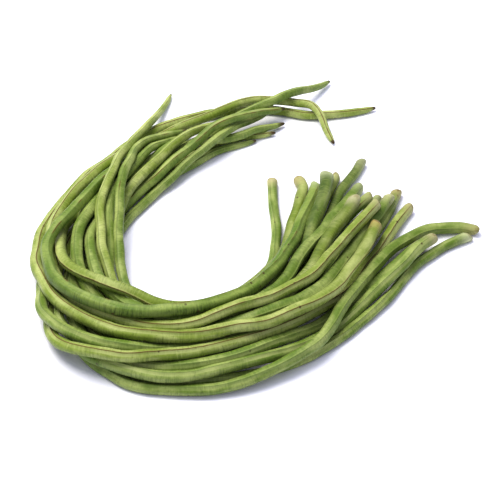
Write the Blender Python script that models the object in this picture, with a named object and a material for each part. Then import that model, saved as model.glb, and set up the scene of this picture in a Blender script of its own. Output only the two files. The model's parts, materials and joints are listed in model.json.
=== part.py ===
"""A bunch of yardlong beans lying on a table, bent round into an open C.

Every pod is one solid of its own. A pod starts as a route: the places that its middle line passes,
chosen by hand. The routes are then laid together, as a handful of pods is: each pod is lowered until
it rests on the table or on the pods below it, and pods that would share a space are eased apart.
Routes and girths are in millimetres; the meshes are in metres, +Z up, with the table at Z = 0.
"""

import math
from dataclasses import dataclass

import bmesh
import bpy
import numpy as np

MM = 0.001

POD_RADIUS = 4.3           # of a full-grown pod, half way along
RING_SPACING = 14.0         # between the cross-sections of a pod's mesh
RING_SIDES = 8
HALF_SIDE = math.pi / RING_SIDES
SEAM_GAP = 0.35             # left between pods that touch
STEM_SHRINK = 10.0          # the length over which the cut end widens to full girth
STEM_REACH = 90.0           # how far a thicker or thinner stem end reaches along the pod
TIP_TAPER = 55.0            # the length over which the other end thins to its beak
TIP_SHARE = 0.56            # the beak's girth, as a share of the pod's

EASING_ROUNDS = 420
PUSHES_A_ROUND = 3
HOLD_TO_ROUTE = 0.05        # how hard a pod keeps to its route while the bunch is laid
HOLD_UNTIL = 0.7            # the share of the rounds over which that hold fades to nothing
LOWERING = 0.05             # how far a pod is let down in each round
BENDING = 0.5               # how strongly a pod spreads a push along its length
CALMING = 0.3               # the last share of the rounds, in which lowering and bending fade out
SEARCH_REACH = 13.0         # pods whose middle lines are further apart than this can't touch
SEARCH_EVERY = 8
ROUND_EVERY = 20            # places are rounded this often, so that the result is the same everywhere
ROUNDING_DIGITS = 3


@dataclass(frozen=True)
class Pod:
    """One pod: its route from cut stem end to tip, as (x, y, height of the middle line)."""

    route: tuple[tuple[float, float, float], ...]
    firmness: float = 1.0   # a firm pod keeps its place, and softer ones give way to it
    girth: float = 1.0
    stem: float = 1.0       # the stem end's girth, as a share of the pod's
    shade: tuple[float, float, float] = (0.20, 0.34, 0.06)


LIGHT = (0.30, 0.44, 0.10)
MIDDLE = (0.20, 0.34, 0.06)
DARK = (0.12, 0.24, 0.04)

PODS = (
    # The showpiece: over everything along the front, under the rest at the back.
    Pod(
        route=(
            (87, 13, 13), (69, -36, 18), (40, -75, 20), (-4, -96, 19), (-49, -107, 19),
            (-92, -98, 19), (-128, -70, 17), (-147, -27, 13), (-146, 20, 9), (-131, 63, 7),
            (-104, 101, 6), (-73, 136, 6), (-33, 156, 6), (12, 164, 6), (56, 156, 5),
            (101, 166, 5),
        ),
        firmness=5,
        girth=1.06,
        shade=LIGHT,
    ),
    # Beside it on the inner side, and out at the back to the tip that droops.
    Pod(
        route=(
            (93, 29, 18), (66, -11, 20), (42, -51, 20), (5, -78, 19), (-36, -94, 17),
            (-80, -93, 15), (-117, -69, 13), (-138, -28, 12), (-140, 16, 14), (-123, 57, 17),
            (-100, 95, 12), (-70, 126, 8), (-32, 146, 10), (8, 165, 8), (49, 158, 8),
            (65, 121, 5),
        ),
        firmness=2,
        shade=LIGHT,
    ),
    # The broad pod on the inner edge, highest at the left bend.
    Pod(
        route=(
            (54, 68, 7), (37, 20, 10), (25, -30, 15), (0, -68, 17), (-38, -91, 18),
            (-83, -93, 18), (-121, -72, 18), (-139, -29, 17), (-127, 11, 19), (-106, 52, 16),
            (-84, 90, 7), (-54, 124, 7),
        ),
        firmness=4,
        girth=1.08,
        stem=1.06,
        shade=DARK,
    ),
    # The innermost long pod, with the hooked stem end.
    Pod(
        route=(
            (37, 76, 5), (42, 67, 6), (38, 42, 8), (28, 1, 9), (16, -29, 8), (-15, -66, 9),
            (-54, -82, 14), (-95, -68, 18), (-129, -36, 18), (-131, 13, 13), (-111, 54, 7),
            (-80, 89, 5),
        ),
        firmness=4,
        shade=LIGHT,
    ),
    # Thick, pale stem end, then low under the inner edge.
    Pod(
        route=(
            (59, 72, 8), (46, 21, 10), (30, -25, 12), (6, -64, 11), (-36, -82, 11),
            (-82, -81, 11), (-114, -50, 11), (-123, -2, 14), (-110, 44, 11), (-86, 82, 8),
            (-54, 119, 6),
        ),
        firmness=1.5,
        girth=1.1,
        stem=1.13,
    ),
    # Under the two top pods, and up the inner side of the bend.
    Pod(
        route=(
            (82, 66, 8), (55, 18, 10), (34, -24, 13), (13, -63, 13), (-24, -88, 12),
            (-68, -93, 12), (-102, -64, 11), (-115, -21, 13), (-112, 23, 12), (-91, 62, 9),
            (-59, 92, 9),
        ),
        stem=1.08,
    ),
    # Low along the front, then over the arm to the tip that points up at the back.
    Pod(
        route=(
            (66, 80, 5), (53, 31, 5), (38, -10, 5), (24, -47, 5), (-6, -74, 5), (-42, -85, 5),
            (-77, -80, 5), (-100, -44, 8), (-107, 8, 18), (-101, 51, 23), (-89, 93, 20),
            (-75, 138, 12), (-64, 186, 5),
        ),
        firmness=2,
        girth=0.9,
        shade=LIGHT,
    ),
    # The single stem end on the far inside, and the pod on the inner edge of the bend.
    Pod(
        route=(
            (17, 75, 5), (19, 50, 6), (21, 22, 7), (20, -17, 5), (1, -53, 5), (-33, -75, 5),
            (-67, -73, 5), (-92, -42, 9), (-98, 6, 18), (-95, 53, 22), (-83, 98, 16),
            (-49, 131, 9),
        ),
        firmness=3,
        girth=0.9,
    ),
    # The stem end that stands off to the back.
    Pod(
        route=(
            (86, 97, 5), (61, 57, 5), (45, 9, 5), (29, -38, 5), (4, -82, 5), (-36, -103, 5),
            (-74, -97, 5), (-96, -57, 5), (-99, -5, 12), (-95, 43, 12), (-75, 88, 11),
            (-48, 133, 6),
        ),
        firmness=1.5,
        girth=0.92,
        stem=0.96,
    ),
    # Pale stem end among the top pods, and on top again along the back arm.
    Pod(
        route=(
            (76, 34, 14), (53, -8, 18), (34, -50, 19), (2, -79, 11), (-39, -95, 5),
            (-79, -89, 5), (-103, -46, 5), (-103, 3, 7), (-88, 46, 13), (-64, 84, 16),
            (-38, 121, 14), (-8, 152, 8),
        ),
        firmness=2,
        stem=1.12,
        shade=LIGHT,
    ),
    # Through the middle of the bunch, to the tip that rises at the far back.
    Pod(
        route=(
            (104, 46, 10), (82, 3, 11), (61, -38, 12), (35, -74, 12), (-6, -94, 12),
            (-50, -99, 11), (-90, -93, 9), (-114, -62, 6), (-119, -17, 5), (-115, 27, 6),
            (-102, 68, 7), (-78, 101, 5), (-43, 119, 8), (-7, 143, 11), (31, 163, 11),
            (66, 203, 6),
        ),
        firmness=2,
        stem=0.98,
    ),
    # Two pods that run hidden, low in the middle, to short tips at the back.
    Pod(
        route=(
            (90, 46, 11), (58, 10, 11), (39, -33, 10), (14, -75, 5), (-19, -103, 5),
            (-60, -112, 5), (-95, -96, 5), (-110, -55, 5), (-111, -8, 5), (-102, 38, 5),
            (-76, 74, 8), (-43, 107, 10), (-10, 134, 12), (28, 163, 6),
        ),
        girth=0.95,
        stem=1.08,
        shade=DARK,
    ),
    Pod(
        route=(
            (96, 55, 6), (67, 14, 5), (47, -32, 5), (24, -80, 5), (-11, -110, 5), (-52, -121, 5),
            (-87, -104, 5), (-101, -63, 5), (-103, -16, 5), (-97, 32, 5), (-81, 65, 5),
            (-54, 98, 6), (-22, 131, 8), (16, 163, 6),
        ),
        girth=0.92,
    ),
    # Three pods that fill the front below the top ones and turn the bend on the outside.
    Pod(
        route=(
            (110, 61, 8), (93, 9, 9), (71, -32, 9), (39, -66, 9), (-1, -89, 9), (-45, -105, 10),
            (-88, -106, 12), (-126, -86, 10), (-138, -44, 8), (-137, 1, 7), (-125, 46, 6),
            (-94, 80, 6), (-53, 104, 6), (-11, 120, 7), (27, 146, 6),
        ),
        firmness=2,
    ),
    Pod(
        route=(
            (118, 43, 6), (91, 3, 7), (70, -38, 8), (41, -72, 11), (3, -97, 11), (-38, -114, 10),
            (-82, -117, 10), (-119, -96, 7), (-134, -55, 5), (-133, -9, 5), (-120, 34, 5),
            (-92, 67, 5), (-57, 95, 5), (-22, 126, 5), (20, 137, 4),
        ),
        firmness=2,
        stem=1.02,
        shade=LIGHT,
    ),
    Pod(
        route=(
            (121, 7, 6), (90, -30, 8), (58, -63, 8), (23, -92, 10), (-15, -113, 9),
            (-57, -123, 8), (-97, -110, 6), (-121, -76, 5), (-126, -35, 5), (-120, 9, 5),
            (-103, 50, 5), (-71, 83, 5), (-35, 112, 5), (5, 125, 4),
        ),
        firmness=2,
        girth=0.96,
    ),
    # Under the arching pod, with a pale stem end on the near side.
    Pod(
        route=(
            (130, 4, 11), (104, -33, 9), (73, -69, 6), (37, -101, 7), (-3, -119, 10),
            (-47, -129, 9), (-89, -117, 7), (-116, -84, 5), (-121, -42, 5),
        ),
        firmness=2,
        stem=1.06,
        shade=LIGHT,
    ),
    # The long pod that arches over the others on the right and closes the front edge.
    Pod(
        route=(
            (164, 17, 8), (148, 20, 9), (122, 11, 9), (90, -21, 10), (67, -61, 9), (47, -98, 7),
            (14, -122, 5), (-27, -136, 5), (-70, -131, 5), (-102, -106, 5), (-117, -71, 5),
        ),
        firmness=4,
        stem=1.05,
    ),
    # The thin one that lies on the table at the right.
    Pod(
        route=(
            (159, 14, 5), (120, -7, 5), (88, -46, 5), (57, -84, 5), (23, -113, 5),
            (-19, -127, 5), (-62, -129, 5), (-98, -108, 5), (-114, -69, 5),
        ),
        firmness=2,
        girth=0.86,
        shade=LIGHT,
    ),
)


def smooth_curve(points: np.ndarray, steps: int = 12) -> np.ndarray:
    """Points along the Catmull-Rom curve that passes through the given ones."""
    padded = np.vstack([2 * points[0] - points[1], points, 2 * points[-1] - points[-2]])
    share = np.linspace(0, 1, steps, endpoint=False)[:, None]
    stretches = []
    for before, start, end, after in zip(padded, padded[1:], padded[2:], padded[3:]):
        stretches.append(
            0.5 * (
                2 * start
                + (end - before) * share
                + (2 * before - 5 * start + 4 * end - after) * share**2
                + (3 * start - before - 3 * end + after) * share**3
            )
        )
    return np.vstack([*stretches, points[-1:]])


def evenly_spaced(line: np.ndarray, spacing: float) -> np.ndarray:
    """The same line with its points the same distance apart, close to the given spacing."""
    along = np.concatenate([[0], np.cumsum(np.linalg.norm(np.diff(line, axis=0), axis=1))])
    places = np.linspace(0, along[-1], round(along[-1] / spacing) + 1)
    return np.stack([np.interp(places, along, line[:, axis]) for axis in range(3)], axis=1)


def girth_along(count: int, spacing: float, pod: Pod) -> np.ndarray:
    """The pod's radius at each of its points, from the cut stem end to the tip."""
    along = np.arange(count) * spacing
    to_tip = along[-1] - along
    body = np.interp(along / along[-1], [0, 0.5, 0.8, 1], [1, 1, 0.9, 0.8])
    stem = 0.86 + 0.14 * np.minimum(1, along / STEM_SHRINK)
    stem *= 1 + (pod.stem - 1) * np.maximum(0, 1 - along / STEM_REACH)
    tip = TIP_SHARE + (1 - TIP_SHARE) * np.sqrt(np.minimum(1, to_tip / TIP_TAPER))
    return POD_RADIUS * pod.girth * body * stem * tip


def closest_places(start_a, run_a, start_b, run_b):
    """For pairs of straight stretches, the share along each at which the two are closest."""
    between = start_a - start_b
    length_a = (run_a * run_a).sum(1)
    length_b = (run_b * run_b).sum(1)
    slant = (run_a * run_b).sum(1)
    ahead_a = (run_a * between).sum(1)
    ahead_b = (run_b * between).sum(1)
    spread = length_a * length_b - slant * slant
    crossing = np.clip((slant * ahead_b - ahead_a * length_b) / np.maximum(spread, 1e-9), 0, 1)
    share_a = np.where(spread > 1e-9 * length_a * length_b, crossing, 0.5)
    share_b = np.clip((slant * share_a + ahead_b) / length_b, 0, 1)
    share_a = np.clip((slant * share_b - ahead_a) / length_a, 0, 1)
    share_b = np.clip((slant * share_a + ahead_b) / length_b, 0, 1)
    return share_a, share_b


def stretches_that_may_touch(places, pod_of, stretches):
    """Pairs of stretches, on different pods, that are close enough to touch soon."""
    middles = 0.5 * (places[stretches] + places[stretches + 1])
    halves = 0.5 * np.linalg.norm(places[stretches + 1] - places[stretches], axis=1)
    firsts = []
    seconds = []
    for pod in range(pod_of[-1]):
        own = np.flatnonzero(pod_of[stretches] == pod)
        others = np.flatnonzero(pod_of[stretches] > pod)
        apart = np.linalg.norm(middles[own][:, None] - middles[others][None], axis=2)
        near_own, near_other = np.nonzero(apart < halves[own][:, None] + halves[others][None] + SEARCH_REACH)
        firsts.append(stretches[own[near_own]])
        seconds.append(stretches[others[near_other]])
    return np.concatenate(firsts), np.concatenate(seconds)


def push_apart(places, radii, firmness, firsts, seconds):
    """Moves touching pods off each other, the softer one further, and keeps all of them on the table."""
    share_a, share_b = closest_places(
        places[firsts], places[firsts + 1] - places[firsts],
        places[seconds], places[seconds + 1] - places[seconds],
    )
    on_a = places[firsts] + share_a[:, None] * (places[firsts + 1] - places[firsts])
    on_b = places[seconds] + share_b[:, None] * (places[seconds + 1] - places[seconds])
    apart = np.linalg.norm(on_a - on_b, axis=1)
    radius_a = radii[firsts] + share_a * (radii[firsts + 1] - radii[firsts])
    radius_b = radii[seconds] + share_b * (radii[seconds + 1] - radii[seconds])
    missing = radius_a + radius_b + SEAM_GAP - apart
    touching = missing > 0
    away = ((on_a - on_b) * (missing / np.maximum(apart, 1e-6))[:, None])[touching]
    give_a = (firmness[seconds] / (firmness[firsts] + firmness[seconds]))[touching]
    push = np.zeros_like(places)
    weight = np.zeros(len(places))
    for ends, share, give in (
        (firsts[touching], 1 - share_a[touching], give_a),
        (firsts[touching] + 1, share_a[touching], give_a),
        (seconds[touching], 1 - share_b[touching], give_a - 1),
        (seconds[touching] + 1, share_b[touching], give_a - 1),
    ):
        np.add.at(push, ends, away * (share * give)[:, None])
        np.add.at(weight, ends, share)
    places += push * (1.5 / np.maximum(weight, 1))[:, None]
    places[:, 2] = np.maximum(places[:, 2], radii * math.cos(HALF_SIDE))


def lay_together(lines: list[np.ndarray], radii: list[np.ndarray]) -> list[np.ndarray]:
    """Lowers the pods onto the table and onto each other, and eases them apart where they would overlap."""
    counts = [len(line) for line in lines]
    pod_of = np.repeat(np.arange(len(lines)), counts)
    firmness = np.repeat([pod.firmness for pod in PODS], counts)
    routes = np.concatenate(lines)
    girths = np.concatenate(radii)
    places = routes.copy()
    stretches = np.flatnonzero(pod_of[:-1] == pod_of[1:])
    inner = np.flatnonzero((pod_of[:-2] == pod_of[1:-1]) & (pod_of[2:] == pod_of[1:-1])) + 1
    for step in range(EASING_ROUNDS):
        hold = HOLD_TO_ROUTE * max(0.0, 1 - step / (EASING_ROUNDS * HOLD_UNTIL))
        calm = min(1.0, (EASING_ROUNDS - step) / (CALMING * EASING_ROUNDS))
        shift = places - routes
        shift[:, :2] *= (1 - hold * firmness)[:, None]
        shift[:, 2] *= 1 - 0.2 * hold
        shift[:, 2] -= LOWERING * calm
        spread = 0.5 * (shift[inner - 1] + shift[inner + 1]) - shift[inner]
        shift[inner] += BENDING * calm**2 * spread
        places = routes + shift
        if step % SEARCH_EVERY == 0:
            firsts, seconds = stretches_that_may_touch(places, pod_of, stretches)
        for _ in range(PUSHES_A_ROUND):
            push_apart(places, girths, firmness, firsts, seconds)
        if step % ROUND_EVERY == ROUND_EVERY - 1:
            places = np.round(places, ROUNDING_DIGITS)
    return np.split(places, np.cumsum(counts)[:-1])


def skin_material(name: str, shade: tuple[float, float, float]) -> bpy.types.Material:
    """A plain pod-green material."""
    material = bpy.data.materials.new(name)
    material.use_nodes = True
    surface = material.node_tree.nodes["Principled BSDF"]
    surface.inputs["Base Color"].default_value = (*shade, 1)
    surface.inputs["Roughness"].default_value = 0.5
    surface.inputs["Metallic"].default_value = 0
    return material


def ring_corners(line: np.ndarray, radii: np.ndarray) -> np.ndarray:
    """The corners of every ring of a tube round the line, each ring square to it and flat underneath."""
    ahead = np.gradient(line, axis=0)
    ahead /= np.linalg.norm(ahead, axis=1)[:, None]
    side = np.cross(ahead, (0, 0, 1))
    side /= np.linalg.norm(side, axis=1)[:, None]
    up = np.cross(side, ahead)
    angles = HALF_SIDE * (1 + 2 * np.arange(RING_SIDES))
    across = np.cos(angles)[None, :, None] * side[:, None, :]
    above = np.sin(angles)[None, :, None] * up[:, None, :]
    return line[:, None, :] + radii[:, None, None] * (across + above)


def tube_mesh(name: str, rings: np.ndarray, shade: tuple[float, float, float]) -> bpy.types.Mesh:
    """A closed tube through the rings, with a point at the middle of each end."""
    shape = bmesh.new()
    corners = [[shape.verts.new(corner * MM) for corner in ring] for ring in rings]
    for ring, following in zip(corners, corners[1:]):
        for near in range(RING_SIDES):
            far = (near + 1) % RING_SIDES
            shape.faces.new((ring[near], ring[far], following[far], following[near]))
    for end in (0, -1):
        pole = shape.verts.new(rings[end].mean(0) * MM)
        for near in range(RING_SIDES):
            shape.faces.new((corners[end][near], pole, corners[end][(near + 1) % RING_SIDES]))
    bmesh.ops.recalc_face_normals(shape, faces=shape.faces)
    mesh = bpy.data.meshes.new(name)
    shape.to_mesh(mesh)
    shape.free()
    mesh.shade_smooth()
    mesh.materials.append(skin_material(f"{name}_skin", shade))
    return mesh


def build_bunch() -> None:
    """Lays the pods together and makes one object for each, with the origin under the bunch's middle."""
    lines = [evenly_spaced(smooth_curve(np.array(pod.route, float)), RING_SPACING) for pod in PODS]
    radii = [girth_along(len(line), RING_SPACING, pod) for pod, line in zip(PODS, lines)]
    laid = lay_together(lines, radii)
    tubes = [ring_corners(line, radius) for line, radius in zip(laid, radii)]
    lowest = np.min([tube.min(axis=(0, 1)) for tube in tubes], axis=0)
    highest = np.max([tube.max(axis=(0, 1)) for tube in tubes], axis=0)
    under_middle = (lowest + highest) / 2
    under_middle[2] = lowest[2]
    for number, (pod, tube) in enumerate(zip(PODS, tubes), start=1):
        name = f"pod_{number:02d}"
        mesh = tube_mesh(name, tube - under_middle, pod.shade)
        bpy.context.scene.collection.objects.link(bpy.data.objects.new(name, mesh))


for leftover in list(bpy.data.objects):
    bpy.data.objects.remove(leftover)
build_bunch()
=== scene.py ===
"""The looks of a bunch of yardlong beans: a fine skin on every pod, a floor, studio light and a camera."""

import json
import logging
import math
from dataclasses import dataclass, field
from enum import Enum

import bpy
import numpy as np
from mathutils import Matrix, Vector


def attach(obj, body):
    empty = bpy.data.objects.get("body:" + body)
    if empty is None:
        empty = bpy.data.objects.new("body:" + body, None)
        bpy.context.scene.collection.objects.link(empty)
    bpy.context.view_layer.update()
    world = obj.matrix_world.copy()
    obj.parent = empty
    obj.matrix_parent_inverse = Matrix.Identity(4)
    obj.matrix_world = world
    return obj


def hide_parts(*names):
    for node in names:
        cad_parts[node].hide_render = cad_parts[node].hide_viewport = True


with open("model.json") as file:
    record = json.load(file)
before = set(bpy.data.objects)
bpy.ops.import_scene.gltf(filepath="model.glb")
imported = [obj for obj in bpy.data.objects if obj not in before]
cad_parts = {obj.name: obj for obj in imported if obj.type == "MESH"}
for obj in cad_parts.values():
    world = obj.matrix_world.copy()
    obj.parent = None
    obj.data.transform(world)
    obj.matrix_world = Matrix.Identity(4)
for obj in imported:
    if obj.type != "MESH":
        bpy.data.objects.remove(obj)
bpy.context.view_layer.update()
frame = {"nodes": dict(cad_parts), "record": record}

log = logging.getLogger("bean_bunch")

MM = 0.001
UP = np.array((0.0, 0.0, 1.0))


def linear(hex_colour: str) -> tuple[float, float, float, float]:
    """Turns an sRGB hex colour into the linear RGBA that a shader socket takes.

    Args:
        hex_colour: six hex digits, such as "8fb04a".

    Returns:
        Linear red, green and blue, and an alpha of 1.
    """
    shares = [int(hex_colour[at : at + 2], 16) / 255 for at in (0, 2, 4)]
    red, green, blue = (s / 12.92 if s <= 0.04045 else ((s + 0.055) / 1.055) ** 2.4 for s in shares)
    return red, green, blue, 1.0


def eased(values: np.ndarray, start: float, end: float) -> np.ndarray:
    """A smooth rise from 0 at start to 1 at end.

    Args:
        values: where to read the rise.
        start: the value at which it begins.
        end: the value at which it is complete.

    Returns:
        The rise at each value, from 0 to 1.
    """
    share = np.clip((values - start) / (end - start), 0, 1)
    return share * share * (3 - 2 * share)


class Hue(Enum):
    """How green a pod has grown, with its light, middle and deep skin colours; the deep one also serves as
    the painted shade on a pod's sides and back.
    """

    LIGHT = ("c6ce82", "7e9332", "384b12")
    GREEN = ("b4c170", "637e27", "23370b")
    DARK = ("9aac55", "5d7a23", "233609")


@dataclass(frozen=True)
class PodLook:
    """What sets one pod apart from its neighbours."""

    hue: Hue
    seam_turn: tuple[float, ...]            # degrees from the pod's left side, evenly from stem to tip
    browning: float = 0.5                   # how much of the seam has turned brown, 0 to 1
    band: float = 0.3                       # how pale the strip beside the seam is, 0 to 1
    stem: str = "cfc79a"
    dark_rim: float = 0.4                   # how dark the rim of the stem's scar is, 0 to 1
    seed_pitch: float = 19.0                # millimetres from seed to seed
    tip_brown: float = 6.0                  # millimetres of the tip that have dried brown


LOOKS: dict[str, PodLook] = {
    "pod_01": PodLook(Hue.LIGHT, (165, 105, 84, 75, 60), 1.0, 0.38, stem="b99f62", dark_rim=0.9, tip_brown=5),
    "pod_02": PodLook(Hue.LIGHT, (125, 118, 95, 90, 80), 0.75, 0.5, stem="b9b582", dark_rim=0.5, tip_brown=4),
    "pod_03": PodLook(Hue.DARK, (120, 75, 62, 70), 0.45, 0.1, stem="b6c28f", dark_rim=0.2),
    "pod_04": PodLook(Hue.LIGHT, (160, 165, 150, 110), 0.8, 0.6, stem="b8ab78", dark_rim=0.5),
    "pod_05": PodLook(Hue.GREEN, (210, 130, 60), 0.1, 0.1, stem="bcc59a", dark_rim=0.1),
    "pod_06": PodLook(Hue.GREEN, (140, 150, 40), 0.15, 0.25, stem="b0b986", dark_rim=0.2),
    "pod_07": PodLook(Hue.LIGHT, (100, 130, 55), 0.2, 0.35, stem="bcba88", dark_rim=0.8, tip_brown=3),
    "pod_08": PodLook(Hue.GREEN, (60, 120, 40), 0.35, 0.2, stem="c2b48c", dark_rim=0.6, tip_brown=7),
    "pod_09": PodLook(Hue.GREEN, (250, 120, 60), 0.1, 0.1, stem="aaae84", dark_rim=0.3),
    "pod_10": PodLook(Hue.LIGHT, (200, 150, 50), 0.25, 0.4, stem="c5c09a", dark_rim=0.2, tip_brown=6),
    "pod_11": PodLook(Hue.GREEN, (170, 120, 60), 0.3, 0.35, stem="c9c795", dark_rim=0.4, tip_brown=5),
    "pod_12": PodLook(Hue.DARK, (120, 100, 45), 0.6, 0.45, stem="b5b67c", dark_rim=0.4, tip_brown=6),
    "pod_13": PodLook(Hue.GREEN, (150, 100, 40), 0.2, 0.25, stem="c2c594", dark_rim=0.3, tip_brown=7),
    "pod_14": PodLook(Hue.GREEN, (130, 100, 45), 0.25, 0.3, stem="b8a874", dark_rim=0.9, tip_brown=9),
    "pod_15": PodLook(Hue.LIGHT, (112, 95, 60), 0.95, 0.5, stem="b3a878", dark_rim=1.0, tip_brown=7),
    "pod_16": PodLook(Hue.GREEN, (140, 105, 60), 0.25, 0.5, stem="b6b985", dark_rim=0.3, tip_brown=5),
    "pod_17": PodLook(Hue.GREEN, (110, 95, 70), 0.2, 0.5, stem="bbb285", dark_rim=0.5),
    "pod_18": PodLook(Hue.GREEN, (160, 120, 90), 0.1, 0.15, stem="a7a468", dark_rim=0.3),
    "pod_19": PodLook(Hue.GREEN, (60, 110, 90), 0.3, 0.3, stem="cbd1a2", dark_rim=0.2),
}


class Shader:
    """A material's node tree, with the one helper that adds a node."""

    def __init__(self, name: str) -> None:
        """Starts an empty material.

        Args:
            name: the material's name.
        """
        self.material = bpy.data.materials.new(name)
        self.material.use_nodes = True
        self.tree = self.material.node_tree
        self.tree.nodes.clear()

    def node(self, kind: str, inputs: dict | None = None, **settings) -> bpy.types.Node:
        """Adds a node.

        Args:
            kind: its type, without the leading "ShaderNode".
            inputs: a value, or another node's output, for each input by name or number.
            settings: the node's own properties.

        Returns:
            The new node.
        """
        made = self.tree.nodes.new(f"ShaderNode{kind}")
        for name, value in settings.items():
            setattr(made, name, value)
        for name, value in (inputs or {}).items():
            if isinstance(value, bpy.types.NodeSocket):
                self.tree.links.new(value, made.inputs[name])
            else:
                made.inputs[name].default_value = value
        return made

    def math(self, operation: str, *values: object) -> bpy.types.NodeSocket:
        """The result of a sum, a product or another operation on one to three values."""
        return self.node("Math", dict(enumerate(values)), operation=operation).outputs[0]

    def rise(self, value: object, start: object, end: object) -> bpy.types.NodeSocket:
        """A smooth step from 0 at start to 1 at end, or down from 1 to 0 where end is below start."""
        inputs = {"Value": value, "From Min": start, "From Max": end}
        return self.node("MapRange", inputs, interpolation_type="SMOOTHSTEP").outputs[0]

    def mix(self, share: object, first: object, second: object) -> bpy.types.NodeSocket:
        """The first colour where share is 0, and the second where it is 1."""
        inputs = {0: share, 6: first, 7: second}
        return self.node("Mix", inputs, data_type="RGBA", clamp_factor=True).outputs[2]

    def noise(self, place: bpy.types.NodeSocket, size_mm: float, detail: float = 2) -> bpy.types.NodeSocket:
        """Noise whose patches are about size_mm across, on coordinates in millimetres."""
        inputs = {"Vector": place, "Scale": 1 / size_mm, "Detail": detail}
        return self.node("TexNoise", inputs).outputs[0]

    def stretched(
        self, place: bpy.types.NodeSocket, scale: tuple[float, float, float]
    ) -> bpy.types.NodeSocket:
        """The same coordinates, multiplied along each axis."""
        return self.node("VectorMath", {0: place, 1: scale}, operation="MULTIPLY").outputs[0]


@dataclass(frozen=True)
class SkinPlaces:
    """What a pod's material knows of each point on it, as node outputs, in millimetres."""

    straight: bpy.types.NodeSocket      # where it would be if its pod were straight, the seam along +X
    lengthwise: bpy.types.NodeSocket    # the same, with nothing but its distance along the pod
    from_stem: bpy.types.NodeSocket
    to_tip: bpy.types.NodeSocket
    turn: bpy.types.NodeSocket          # its angle from the seam, in radians
    arc: bpy.types.NodeSocket           # how far round the pod it is from the seam, below 0 on the far side


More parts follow.
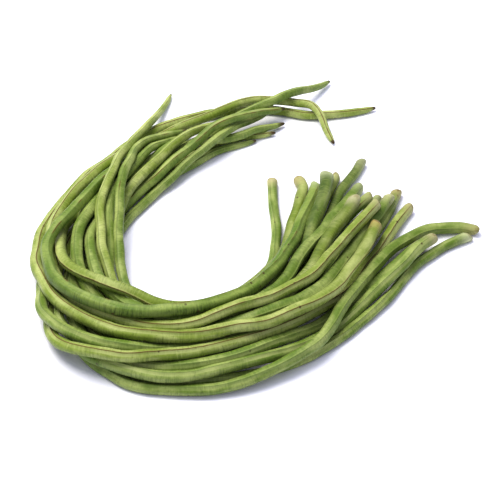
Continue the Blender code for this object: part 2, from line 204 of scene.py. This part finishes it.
@dataclass(frozen=True)
class FreshPodSkin:
    """The skin of a freshly picked pod: waxy, matt, with fine cross veins and a thin seam.

    Sizes are in millimetres on the pod. The skin reads two attributes: where the point would be if its
    pod were straight, with the seam along +X, and how far it is from the pod's two ends.
    """

    look: PodLook
    patch_size: float = 8.0
    painted_shade_from: float = 2.5         # how far from the seam the painted shade begins to deepen the green
    painted_shade_full: float = 11.5
    vein_spacing: float = 0.9       # fine veins run round the pod; this is as fine as can show
    vein_length: float = 6.5
    smooth_until: float = 20.0      # how far from the stem the skin stays at its smoothest
    rough_from: float = 110.0
    blotch_size: float = 1.9
    band_width: float = 2.3         # the paler, flatter strip along one side of the seam
    band_pale: str = "c6ce84"
    seam_width: float = 0.46
    seam_green: str = "41591f"
    seam_brown: str = "4a2813"
    seam_bleed: str = "7d6a30"
    bleed_width: float = 1.2
    speck_spacing: float = 8.0
    speck_brown: str = "43301a"
    stalk_fade: float = 16.0        # how far the pale stalk colour runs down the pod
    rim_width: float = 1.2
    scar_brown: str = "57452f"
    bruise_reach: float = 3.2
    bruise_brown: str = "6d5628"
    beak_brown: str = "3a2418"
    bump_height: float = 0.3

    def material(self, name: str) -> bpy.types.Material:
        """Builds the material, layer on layer.

        Args:
            name: the material's name.

        Returns:
            The finished material.
        """
        s = Shader(name)
        at = self.places(s)
        light, middle, deep = (linear(shade) for shade in self.look.hue.value)
        veins = self.veins(s, at)
        sides = s.rise(s.math("ABSOLUTE", at.arc), self.painted_shade_from, self.painted_shade_full)
        # Broad soft patches of lighter and deeper green, longer than they are wide.
        patches = s.noise(s.stretched(at.straight, (1, 1, 0.45)), self.patch_size, 3)
        colour = s.mix(s.math("MULTIPLY", s.rise(patches, 0.34, 0.74), 0.72), middle, light)
        # Painted shade: the green deepens away from the seam, towards the sides and the back of the pod,
        # which mostly lie below, away from the light, as most seams are turned up.
        colour = s.mix(s.math("MULTIPLY", sides, 0.56), colour, deep)
        colour = self.veined(s, at, colour, veins, sides)
        colour = self.banded(s, at, colour)
        colour, dry_seam = self.seamed(s, at, colour)
        # The back seam is only a faint darker line.
        off_back = s.math("SUBTRACT", math.pi, s.math("ABSOLUTE", at.turn))
        colour = s.mix(s.math("MULTIPLY", s.rise(off_back, 0.09, 0.03), 0.5), colour, deep)
        colour = self.specked(s, at, colour)
        colour, rim = self.cut(s, at, colour)
        colour, beak = self.beaked(s, at, colour)
        dull = s.math("MAXIMUM", beak, s.math("MAXIMUM", dry_seam, rim))
        self.waxed(s, at, colour, veins, dull)
        return s.material

    def places(self, s: Shader) -> SkinPlaces:
        """Reads where each point is on its pod.

        Args:
            s: the material's nodes.

        Returns:
            The places that every layer reads.
        """
        straight = s.node("Attribute", attribute_name="pod_straight").outputs["Vector"]
        ends = s.node("Attribute", attribute_name="pod_ends").outputs["Vector"]
        from_stem, to_tip, _ = s.node("SeparateXYZ", {0: ends}).outputs
        x, y, along = s.node("SeparateXYZ", {0: straight}).outputs
        girth = s.math("SQRT", s.math("ADD", s.math("MULTIPLY", x, x), s.math("MULTIPLY", y, y)))
        turn = s.math("ARCTAN2", y, x)
        lengthwise = s.node("CombineXYZ", {2: along}).outputs[0]
        return SkinPlaces(straight, lengthwise, from_stem, to_tip, turn, s.math("MULTIPLY", turn, girth))

    def veins(self, s: Shader, at: SkinPlaces) -> bpy.types.NodeSocket:
        """The fine veins that run round the pod, as a height from 0 to 1.

        Args:
            s: the material's nodes.
            at: where each point is.

        Returns:
            The height.
        """
        across, lengthways = 1 / self.vein_length, 1 / self.vein_spacing
        place = s.stretched(at.straight, (across, across, lengthways))
        inputs = {"Vector": place, "Scale": 1.0, "Detail": 2.0, "Roughness": 0.55}
        return s.node("TexNoise", inputs).outputs[0]

    def veined(
        self,
        s: Shader,
        at: SkinPlaces,
        colour: bpy.types.NodeSocket,
        veins: bpy.types.NodeSocket,
        sides: bpy.types.NodeSocket,
    ) -> bpy.types.NodeSocket:
        """Draws the veins in broken streaks that come and go, which make the skin look alive and ribbed.

        Args:
            s: the material's nodes.
            at: where each point is.
            colour: the colour so far.
            veins: the veins' height.
            sides: 0 beside the seam and 1 on the sides and the back, where the painted shade is deepest and
                the veins are strongest.

        Returns:
            The new colour.
        """
        light, _, deep = (linear(shade) for shade in self.look.hue.value)
        come_and_go = s.rise(s.noise(at.straight, 9.0, 2), 0.3, 0.62)
        streaks = s.math("MULTIPLY", s.rise(veins, 0.48, 0.64), s.math("ADD", 0.4, come_and_go))
        streaks = s.math("MULTIPLY", streaks, s.math("MULTIPLY_ADD", sides, 0.75, 0.25))
        # Near the stalk the skin is smoother.
        past_neck = s.math("MULTIPLY_ADD", s.rise(at.from_stem, self.smooth_until, self.rough_from), 0.6, 0.4)
        streaks = s.math("MULTIPLY", streaks, past_neck)
        colour = s.mix(s.math("MULTIPLY", streaks, 0.68), colour, deep)
        pale_streaks = s.math("MULTIPLY", s.rise(veins, 0.46, 0.3), come_and_go)
        colour = s.mix(s.math("MULTIPLY", pale_streaks, 0.25), colour, light)
        # Small soft blotches break up what is left even.
        blotches = s.noise(s.stretched(at.straight, (1, 1, 1.6)), self.blotch_size, 3)
        share = s.math("MULTIPLY", s.rise(blotches, 0.52, 0.75), s.math("MULTIPLY", past_neck, 0.38))
        return s.mix(share, colour, deep)

    def banded(self, s: Shader, at: SkinPlaces, colour: bpy.types.NodeSocket) -> bpy.types.NodeSocket:
        """Makes the flat strip beside the seam paler and yellower, which shows how the pod is twisted.

        Args:
            s: the material's nodes.
            at: where each point is.
            colour: the colour so far.

        Returns:
            The new colour.
        """
        light = linear(self.look.hue.value[0])
        edge = s.math("MULTIPLY_ADD", s.noise(at.straight, 14.0), 1.6, self.band_width - 0.8)
        inside = s.rise(s.math("SUBTRACT", at.arc, edge), 0.35, -0.15)
        band = s.math("MULTIPLY", s.rise(at.arc, 0.0, 0.3), inside)
        band_here = s.math("MULTIPLY_ADD", s.rise(s.noise(at.lengthwise, 38.0), 0.36, 0.6), 0.75, 0.25)
        share = s.math("MULTIPLY", s.math("MULTIPLY", band, band_here), self.look.band)
        colour = s.mix(share, colour, linear(self.band_pale))
        # The seam's other lip is a little paler too.
        far_lip = s.math("MULTIPLY", s.rise(at.arc, 0.0, -0.25), s.rise(at.arc, -1.3, -0.6))
        return s.mix(s.math("MULTIPLY", far_lip, 0.1 + 0.3 * self.look.band), colour, light)

    def seamed(
        self, s: Shader, at: SkinPlaces, colour: bpy.types.NodeSocket
    ) -> tuple[bpy.types.NodeSocket, bpy.types.NodeSocket]:
        """Draws the seam, a thin line that is green where it is fresh and brown where it has dried.

        Args:
            s: the material's nodes.
            at: where each point is.
            colour: the colour so far.

        Returns:
            The new colour, and a mask of the dried seam.
        """
        wander = s.math("MULTIPLY_ADD", s.noise(at.straight, 6.0), 0.5, -0.25)
        from_line = s.math("ABSOLUTE", s.math("ADD", at.arc, wander))
        seam = s.rise(from_line, self.seam_width * 1.25, self.seam_width * 0.35)
        threshold = 0.72 - 0.42 * self.look.browning
        dried = s.rise(s.noise(at.lengthwise, 17.0, 3), threshold - 0.05, threshold + 0.09)
        line_colour = s.mix(dried, linear(self.seam_green), linear(self.seam_brown))
        share = s.math("MULTIPLY_ADD", dried, 0.5 - 0.1 * self.look.band, 0.35 + 0.15 * self.look.band)
        colour = s.mix(s.math("MULTIPLY", seam, share), colour, line_colour)
        # A little brown bleeds into the skin beside the dried stretches.
        bleed = s.math("MULTIPLY", s.rise(from_line, self.bleed_width, 0.1), dried)
        colour = s.mix(s.math("MULTIPLY", bleed, 0.22), colour, linear(self.seam_bleed))
        return colour, s.math("MULTIPLY", seam, dried)

    def specked(self, s: Shader, at: SkinPlaces, colour: bpy.types.NodeSocket) -> bpy.types.NodeSocket:
        """Adds a few small dark specks, where the skin was rubbed or bitten.

        Args:
            s: the material's nodes.
            at: where each point is.
            colour: the colour so far.

        Returns:
            The new colour.
        """
        inputs = {"Vector": at.straight, "Scale": 1 / self.speck_spacing, "Randomness": 1.0}
        cells = s.node("TexVoronoi", inputs).outputs
        chance = s.rise(s.node("SeparateColor", {0: cells["Color"]}).outputs[0], 0.46, 0.5)
        ragged = s.math("MULTIPLY", s.noise(at.straight, 0.9), 0.05)
        speck = s.rise(s.math("ADD", cells["Distance"], ragged), 0.165, 0.11)
        share = s.math("MULTIPLY", s.math("MULTIPLY", speck, chance), 0.85)
        return s.mix(share, colour, linear(self.speck_brown))

    def cut(
        self, s: Shader, at: SkinPlaces, colour: bpy.types.NodeSocket
    ) -> tuple[bpy.types.NodeSocket, bpy.types.NodeSocket]:
        """Fades the green to a pale stalk colour towards the cut, whose rim has dried brown.

        Args:
            s: the material's nodes.
            at: where each point is.
            colour: the colour so far.

        Returns:
            The new colour, and a mask of the dried rim.
        """
        mottle = s.math("MULTIPLY_ADD", s.noise(at.straight, 4.0, 3), 6.0, -3.0)
        stalk = s.rise(s.math("ADD", at.from_stem, mottle), self.stalk_fade, 0.0)
        colour = s.mix(s.math("MULTIPLY", stalk, 0.8), colour, linear(self.look.stem))
        rim_noise = s.math("MULTIPLY_ADD", s.noise(at.straight, 1.3, 2), 1.2, -0.6)
        rim = s.rise(s.math("ADD", at.from_stem, rim_noise), self.rim_width, 0.4)
        rim_share = s.math("MULTIPLY", rim, 0.3 + 0.6 * self.look.dark_rim)
        colour = s.mix(rim_share, colour, linear(self.scar_brown))
        # Bruises from handling run down from the rim in a few soft brown patches.
        ragged = s.math("MULTIPLY_ADD", s.noise(at.straight, 3.2, 2), 15.0, -7.5)
        bruise = s.rise(s.math("ADD", at.from_stem, ragged), self.bruise_reach, 0.8)
        bruise_share = s.math("MULTIPLY", bruise, 0.25 + 0.5 * self.look.dark_rim)
        return s.mix(bruise_share, colour, linear(self.bruise_brown)), rim

    def beaked(
        self, s: Shader, at: SkinPlaces, colour: bpy.types.NodeSocket
    ) -> tuple[bpy.types.NodeSocket, bpy.types.NodeSocket]:
        """Dries the tip to a dark brown beak.

        Args:
            s: the material's nodes.
            at: where each point is.
            colour: the colour so far.

        Returns:
            The new colour, and a mask of the beak.
        """
        drying = s.math("MULTIPLY_ADD", s.noise(at.straight, 2.5, 2), 5.0, -2.5)
        beak = s.rise(s.math("ADD", at.to_tip, drying), self.look.tip_brown, self.look.tip_brown * 0.35)
        return s.mix(s.math("MULTIPLY", beak, 0.92), colour, linear(self.beak_brown)), beak

    def waxed(
        self,
        s: Shader,
        at: SkinPlaces,
        colour: bpy.types.NodeSocket,
        veins: bpy.types.NodeSocket,
        dull: bpy.types.NodeSocket,
    ) -> None:
        """Gives the skin its wax: a soft, broken sheen over fine relief, dull on what has dried.

        Args:
            s: the material's nodes.
            at: where each point is.
            colour: the finished colour.
            veins: the veins' height.
            dull: a mask of what has dried.
        """
        bloom = s.noise(at.straight, 3.5, 3)
        roughness = s.math("ADD", s.math("MULTIPLY_ADD", bloom, 0.16, 0.46), s.math("MULTIPLY", dull, 0.3))
        # The veins and the pores stand a few hundredths of a millimetre proud.
        pores = s.noise(at.straight, 0.8, 2)
        relief = s.math("ADD", s.math("MULTIPLY", veins, 0.75), s.math("MULTIPLY", pores, 0.25))
        bump = s.node("Bump", {"Height": relief, "Strength": 0.7, "Distance": self.bump_height * MM})
        surface = s.node(
            "BsdfPrincipled",
            {
                "Base Color": colour,
                "Roughness": roughness,
                "Normal": bump.outputs[0],
                "IOR": 1.42,
                "Specular IOR Level": 0.34,
                # A velvety bloom pales the skin where it is seen at a slant.
                "Sheen Weight": 0.1,
                "Sheen Roughness": 0.45,
                "Sheen Tint": linear("dbe6a6"),
            },
        )
        s.node("OutputMaterial", {0: surface.outputs[0]})


@dataclass
class Pod:
    """One pod, built over its plain solid. Sizes are in millimetres."""

    name: str
    number: int
    look: PodLook
    ring_step: float = 1.7
    ring_width: float = 11.5        # within this of a corner lies only its own ring
    ring_reach: float = 21.0        # within this lie its own ring and the next one on each side
    side_angles: tuple[float, ...] = (
        0, 5, 11, 19, 29, 41, 55, 70, 86, 102, 118, 134, 150, 164, 174, 180,
        186, 196, 210, 226, 242, 258, 274, 290, 305, 319, 331, 341, 349, 355,
    )
    seam_height: float = 0.065      # this and the next nine are shares of the pod's radius
    groove_depth: float = 0.035
    shoulder_flat: float = 0.11
    back_height: float = 0.02
    fold_depth: float = 0.038
    seed_swell: float = 0.045
    knob_lump: float = 0.07
    neck_depth: float = 0.04
    scar_share: float = 0.55
    beak_share: float = 0.62
    # Waves along the girth: how high each is, as a share of the radius, and how long.
    lumps: tuple[tuple[float, float], ...] = ((0.028, 32.0), (0.026, 11.0), (0.012, 4.5))
    shoulder_length: float = 3.6
    cut_slant: float = 0.55         # at most, in millimetres for each millimetre across
    knob_length: float = 9.0
    neck_at: float = 15.0
    neck_length: float = 7.0
    stem_read_at: float = 16.0
    beak_length: float = 8.0
    point_length: float = 1.7
    hook_height: float = 0.9
    hook_length: float = 12.0
    wobble: float = 1.0             # how far the middle line strays
    # Each of the scar's rings: its share of the cut's radius, its depth, and how far from the stem it counts.
    scar_rings: tuple[tuple[float, float, float], ...] = (
        (0.2, 0.55, 2.2), (0.5, 0.6, 1.6), (0.78, 0.35, 0.6), (0.93, -0.02, 0.2),
    )
    rng: np.random.Generator = field(init=False)

    def __post_init__(self) -> None:
        """Seeds the pod's own random numbers."""
        self.rng = np.random.default_rng(4100 + self.number)

    def solid_rings(self) -> tuple[np.ndarray, np.ndarray]:
        """Reads the plain solid's middle line, from the cut stem end to the tip.

        Returns:
            The middle of every ring, and its radius, in millimetres.
        """
        mesh = frame["nodes"][self.name].data
        corners = np.array([vertex.co for vertex in mesh.vertices]) / MM
        rest = np.unique(np.round(corners, 2), axis=0)
        apart = np.linalg.norm(rest[:, None] - rest[None], axis=2)
        # Within reach of an end's corners is one ring fewer than within reach of any other's.
        place = rest[np.argmin((apart < self.ring_reach).sum(1))]
        reach = self.ring_width
        middles, radii = [], []
        while len(rest):
            away = np.linalg.norm(rest - place, axis=1)
            ring, rest = rest[away < reach], rest[away >= reach]
            spread = np.linalg.norm(ring[:, None] - ring[None], axis=2)
            first, second = np.unravel_index(spread.argmax(), spread.shape)
            place = (ring[first] + ring[second]) / 2
            middles.append(place)
            radii.append(spread.max() / 2)
            reach = self.ring_reach
        if radii[1] < radii[-2]:
            middles.reverse()
            radii.reverse()
        return np.array(middles), np.array(radii)

    @staticmethod
    def smooth_line(points: np.ndarray, steps: int) -> np.ndarray:
        """Points along the Catmull-Rom curve through the given ones.

        Args:
            points: one row for each point, of any number of columns.
            steps: how many points each stretch gets.

        Returns:
            The curve's points, one row each.
        """
        padded = np.vstack([2 * points[0] - points[1], points, 2 * points[-1] - points[-2]])
        share = np.linspace(0, 1, steps, endpoint=False)[:, None]
        stretches = []
        for before, start, end, after in zip(padded, padded[1:], padded[2:], padded[3:]):
            cubic = 3 * start - before - 3 * end + after
            square = 2 * before - 5 * start + 4 * end - after
            curve = 2 * start + (end - before) * share + square * share**2 + cubic * share**3
            stretches.append(0.5 * curve)
        return np.vstack([*stretches, points[-1:]])

    def wave(self, along: np.ndarray, length: float) -> np.ndarray:
        """A smooth random wave along the pod.

        Args:
            along: distances along the pod.
            length: about how far apart its crests are.

        Returns:
            The wave at each distance, mostly from -1 to 1.
        """
        knots = int(along[-1] / length) + 4
        heights = self.rng.uniform(-1, 1, (knots, 1))
        curve = self.smooth_line(heights, 8)[:, 0]
        return np.interp(along, np.linspace(0, along[-1], len(curve)), curve)

    def stations(self) -> tuple[np.ndarray, np.ndarray, np.ndarray]:
        """The fine rings' distances along the pod, their middles and their radii.

        Returns:
            Distances along, middles and radii, in millimetres.
        """
        middles, radii = self.solid_rings()
        fine = self.smooth_line(np.column_stack([middles, radii]), 12)
        lengths = np.linalg.norm(np.diff(fine[:, :3], axis=0), axis=1)
        measured = np.concatenate([[0], np.cumsum(lengths)])
        total = measured[-1]
        body = np.linspace(self.shoulder_length, total - 6, int(total / self.ring_step))
        start = self.shoulder_length * np.array((0, 0.04, 0.12, 0.25, 0.42, 0.62, 0.82))
        end = total - np.array((5.0, 4.0, 3.0, 2.1, 1.3, 0.7, 0.3, 0.08))
        along = np.concatenate([start, body, end])
        line = np.stack([np.interp(along, measured, fine[:, axis]) for axis in range(4)], axis=1)
        return along, line[:, :3], line[:, 3]

    def girths(self, along: np.ndarray, radii: np.ndarray) -> np.ndarray:
        """The pod's own radius at each ring: rounded at the cut, beaked at the tip.

        Args:
            along: distances along the pod.
            radii: the plain solid's radii there.

        Returns:
            Radii in millimetres.
        """
        total = along[-1]
        # The plain solid is narrower at its end rings, so the stem's girth is read a little way in.
        stem_radius = np.interp(self.stem_read_at, along, radii)
        girth = np.where(along < self.stem_read_at, stem_radius, radii)
        girth = girth * (1 + sum(height * self.wave(along, length) for height, length in self.lumps))
        neck = 1 - self.neck_depth * np.exp(-(((along - self.neck_at) / self.neck_length) ** 2))
        inward = np.clip(1 - along / self.shoulder_length, 0, 1)
        knob = self.scar_share + (0.97 - self.scar_share) * np.sqrt(1 - inward**2)
        to_tip = total - along
        beak = self.beak_share + (1 - self.beak_share) * eased(to_tip, 0, self.beak_length)
        point = np.sqrt(1 - (1 - np.clip(to_tip / self.point_length, 0, 1)) ** 2)
        return girth * neck * knob * beak * (0.1 + 0.9 * point)

    def profile(self, angles: np.ndarray, along: np.ndarray) -> np.ndarray:
        """How the cross-section differs from a circle, as a share of the radius.

        Args:
            angles: the corners' angles from the seam, in radians.
            along: distances along the pod.

        Returns:
            One row of shares for each ring.
        """
        off = (angles + math.pi) % (2 * math.pi) - math.pi
        total = along[-1]
        living = (eased(along, 6, 30) * eased(total - along, 10, 45))[:, None]
        ridge = self.seam_height * np.exp(-((off / 0.1) ** 2))
        groove = self.groove_depth * np.exp(-(((np.abs(off) - 0.27) / 0.13) ** 2))
        near_flat = self.shoulder_flat * np.exp(-(((off - 0.52) / 0.34) ** 2))
        far_flat = 0.4 * self.shoulder_flat * np.exp(-(((off + 0.55) / 0.34) ** 2))
        back_ridge = self.back_height * np.exp(-(((np.abs(off) - math.pi) / 0.12) ** 2))
        shape = ridge - groove - near_flat - far_flat + back_ridge + 0.012 * np.cos(2 * off)
        strength = (1 + 0.35 * self.wave(along, 60.0))[:, None]
        # Drying has drawn the sides in along a few soft lengthwise folds, which come and go.
        fold_here = (0.5 + 0.8 * self.wave(along, 70.0))[:, None]
        folds = self.fold_depth * np.cos(5 * off + 0.8)[None, :] * fold_here
        phase = along / self.look.seed_pitch + 0.12 * self.wave(along, 50.0)
        seeds = 0.5 + 0.5 * np.cos(2 * math.pi * phase)
        each_seed = self.seed_swell * (seeds * (0.75 + 0.25 * self.wave(along, 30.0)) - 0.55)
        swell = each_seed[:, None] * np.abs(np.sin(off))[None, :] ** 0.7
        # The stalk end is knobbly, and no two are alike.
        turned, turned_more = self.rng.uniform(0, 2 * math.pi, 2)
        knob = np.cos(2 * off + turned) + 0.6 * np.cos(3 * off + turned_more)
        knobbly = self.knob_lump * knob[None, :] * np.exp(-((along / self.knob_length) ** 2))[:, None]
        return 1 + knobbly + living * (shape[None, :] * strength + folds + swell)

    def shape(self) -> tuple[np.ndarray, np.ndarray, np.ndarray]:
        """Works out the skin's points, and what the skin's material reads at each.

        Returns:
            Places in metres, straightened places, and distances from the ends; a ring is one row.
        """
        along, middles, radii = self.stations()
        girth = self.girths(along, radii)
        total = along[-1]
        ahead = np.gradient(middles, along, axis=0)
        ahead /= np.linalg.norm(ahead, axis=1)[:, None]
        left = np.cross(ahead, UP)
        left /= np.linalg.norm(left, axis=1)[:, None]
        above = np.cross(left, ahead)
        turns = self.smooth_line(np.radians(self.look.seam_turn)[:, None], 8)[:, 0]
        turn = np.interp(along, np.linspace(0, total, len(turns)), turns) + 0.12 * self.wave(along, 45.0)
        angles = np.radians(self.side_angles)
        radius = girth[:, None] * self.profile(angles, along)
        around = turn[:, None] + angles[None, :]
        # The tip's last stretch curls up a little.
        hook = self.hook_height * (1 - eased(total - along, 0, self.hook_length))
        rows = self.wave(along, 21.0)[:, None] * left + 0.5 * self.wave(along, 30.0)[:, None] * above
        middles = middles + hook[:, None] * above + self.wobble * rows
        places = (
            middles[:, None, :]
            + (radius * np.cos(around))[:, :, None] * left[:, None, :]
            + (radius * np.sin(around))[:, :, None] * above[:, None, :]
        )
        # The stalk was snapped off at a slant.
        slant = self.cut_slant * self.rng.uniform(-1, 1, 2)
        lean = slant[0] * np.cos(around[0]) + slant[1] * np.sin(around[0])
        near_cut = (1 - eased(along, 0, 7.0))[:, None] * radius
        places = places + (near_cut * lean[None, :])[:, :, None] * ahead[:, None, :]
        seamwards = radius * np.cos(angles)[None, :]
        sideways = radius * np.sin(angles)[None, :]
        lengthwise = np.repeat((along + 900 * self.number)[:, None], len(angles), axis=1)
        straight = np.stack([seamwards, sideways, lengthwise], axis=2)
        ends = np.stack(
            [
                np.repeat(along[:, None], len(angles), axis=1),
                np.repeat((total - along)[:, None], len(angles), axis=1),
                np.zeros_like(radius),
            ],
            axis=2,
        )
        return places * MM, straight, ends

    def with_scar(
        self, places: np.ndarray, straight: np.ndarray, ends: np.ndarray
    ) -> tuple[np.ndarray, np.ndarray, np.ndarray]:
        """Adds the small hollow of the stem's scar, inside the first ring.

        Args:
            places: the skin's places.
            straight: the straightened places.
            ends: the distances from the ends.

        Returns:
            The same three, with the scar's rings put first.
        """
        middle = places[0].mean(0)
        inwards = places[3].mean(0) - middle
        inwards /= np.linalg.norm(inwards)
        extra_places, extra_straight, extra_ends = [], [], []
        for share, depth, shown_at in self.scar_rings:
            extra_places.append(middle + share * (places[0] - middle) + depth * MM * inwards)
            ring = straight[0].copy()
            ring[:, :2] *= share
            extra_straight.append(ring)
            ring_ends = ends[0].copy()
            ring_ends[:, 0] = shown_at
            extra_ends.append(ring_ends)
        return (
            np.concatenate([np.array(extra_places), places]),
            np.concatenate([np.array(extra_straight), straight]),
            np.concatenate([np.array(extra_ends), ends]),
        )

    def build(self) -> bpy.types.Object:
        """Makes the pod's mesh and dresses it.

        Returns:
            The finished piece.
        """
        places, straight, ends = self.with_scar(*self.shape())
        rings, sides = places.shape[:2]
        grid = np.arange(rings * sides).reshape(rings, sides)
        following = np.roll(grid, -1, axis=1)
        walls = np.stack([grid[:-1], following[:-1], following[1:], grid[1:]], axis=2).reshape(-1, 4)
        faces = [*walls.tolist(), grid[0][::-1].tolist(), grid[-1].tolist()]
        mesh = bpy.data.meshes.new(f"{self.name}_skin")
        mesh.from_pydata(places.reshape(-1, 3).tolist(), [], faces)
        for attribute, values in (("pod_straight", straight), ("pod_ends", ends)):
            stored = mesh.attributes.new(attribute, "FLOAT_VECTOR", "POINT")
            stored.data.foreach_set("vector", values.astype(np.float32).ravel())
        mesh.shade_smooth()
        mesh.materials.append(FreshPodSkin(self.look).material(f"fresh_{self.name}_skin"))
        piece = bpy.data.objects.new(f"{self.name}_skin", mesh)
        bpy.context.scene.collection.objects.link(piece)
        return piece


@dataclass
class Bunch:
    """The whole bunch: a fine pod over every plain one."""

    slots: dict[str, str] = field(default_factory=dict)

    def __post_init__(self) -> None:
        """Reads from the record which material slot each node has."""
        self.slots = {part["node"]: part["material_slot"] for part in frame["record"]["subparts"]}

    def build(self) -> None:
        """Makes every pod, and gives it its body and the node that it stands for."""
        for number, (name, look) in enumerate(LOOKS.items(), start=1):
            piece = Pod(name, number, look).build()
            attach(piece, "root")
            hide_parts(name)
            log.info("%s: %d points", piece.name, len(piece.data.vertices))


@dataclass(frozen=True)
class MattWhiteTable:
    """The table top: matt white paint with a faint cool glow of painted light, though it is no lamp, so that
    shadows on it look pale blue.
    """

    white: str = "f7f6fb"
    painted_glow: str = "cfd4ff"
    painted_glow_strength: float = 0.46
    painted_shade_reach: float = 0.022       # in metres: how near something has to be to put the glow out, which paints shade beside and between the pods

    def material(self) -> bpy.types.Material:
        """Builds the material.

        Returns:
            The finished material.
        """
        paint = Shader("matt_white_table")
        # Painted light and shade: the glow goes out where something lies close by, so that the gaps between
        # pods and the floor beside them stay dark.
        open_air = paint.node("AmbientOcclusion", {"Distance": self.painted_shade_reach}, samples=8).outputs["AO"]
        finish = {
            "Base Color": linear(self.white),
            "Roughness": 0.9,
            "Emission Color": linear(self.painted_glow),
            "Emission Strength": paint.math("MULTIPLY", paint.rise(open_air, 0.3, 0.9), self.painted_glow_strength),
        }
        surface = paint.node("BsdfPrincipled", finish)
        paint.node("OutputMaterial", {0: surface.outputs[0]})
        return paint.material


@dataclass(frozen=True)
class Softbox:
    """A square soft light that faces the bunch. Lengths are in metres."""

    name: str
    place: tuple[float, float, float]
    size: float
    watts: float
    colour: str

    def hang(self) -> None:
        """Hangs the light in its place."""
        light = bpy.data.lights.new(self.name, "AREA")
        light.shape = "SQUARE"
        light.size = self.size
        light.energy = self.watts
        light.color = linear(self.colour)[:3]
        lamp = bpy.data.objects.new(self.name, light)
        lamp.location = self.place
        lamp.rotation_euler = (-Vector(self.place)).to_track_quat("-Z", "Y").to_euler()
        bpy.context.scene.collection.objects.link(lamp)


@dataclass
class Studio:
    """The pale floor, the light and the camera. Lengths are in metres."""

    floor_size: float = 6.0
    floor_paint_and_glow: MattWhiteTable = MattWhiteTable()
    room_white: str = "ecedff"
    room_strength: float = 0.43
    softboxes: tuple[Softbox, ...] = (
        Softbox("key_light", (-0.5, 0.34, 1.38), 1.0, 31.5, "fffcf2"),
        Softbox("front_fill", (0.5, -1.4, 1.1), 1.2, 1.5, "f6f9ff"),
    )
    camera_distance: float = 1.0
    camera_elevation: float = 42.0
    lens: float = 100.8
    look_at: tuple[float, float, float] = (-0.0053, -0.0307, 0.0)

    def floor(self) -> None:
        """Lays a white table top that reaches far past the bunch on every side."""
        half = self.floor_size / 2
        mesh = bpy.data.meshes.new("table_top")
        corners = [(-half, -half, 0), (half, -half, 0), (half, half, 0), (-half, half, 0)]
        mesh.from_pydata(corners, [], [(0, 1, 2, 3)])
        mesh.materials.append(self.floor_paint_and_glow.material())
        table = bpy.data.objects.new("table_top", mesh)
        bpy.context.scene.collection.objects.link(table)

    def world(self) -> None:
        """Surrounds the table with even, slightly cool white."""
        world = bpy.data.worlds.new("white_room")
        world.use_nodes = True
        background = world.node_tree.nodes["Background"]
        background.inputs["Color"].default_value = linear(self.room_white)
        background.inputs["Strength"].default_value = self.room_strength
        bpy.context.scene.world = world

    def camera(self) -> None:
        """Looks down at the bunch from the front."""
        slope = math.radians(self.camera_elevation)
        back = Vector((0, -math.cos(slope), math.sin(slope)))
        data = bpy.data.cameras.new("camera")
        data.lens = self.lens
        data.sensor_width = 36.0
        camera = bpy.data.objects.new("camera", data)
        camera.location = Vector(self.look_at) + back * self.camera_distance
        camera.rotation_euler = (-back).to_track_quat("-Z", "Y").to_euler()
        bpy.context.scene.collection.objects.link(camera)
        bpy.context.scene.camera = camera

    def build(self) -> None:
        """Sets up the whole studio."""
        self.floor()
        self.world()
        for softbox in self.softboxes:
            softbox.hang()
        self.camera()
        view = bpy.context.scene.view_settings
        view.view_transform = "Standard"
        view.look = "None"
        log.info("studio: floor, two softboxes and the camera")


def main() -> None:
    """Builds the bunch and the studio."""
    logging.basicConfig(level=logging.INFO, format="%(name)s: %(message)s")
    Studio().build()
    Bunch().build()
    bpy.context.view_layer.update()


if __name__ == "__main__":
    main()
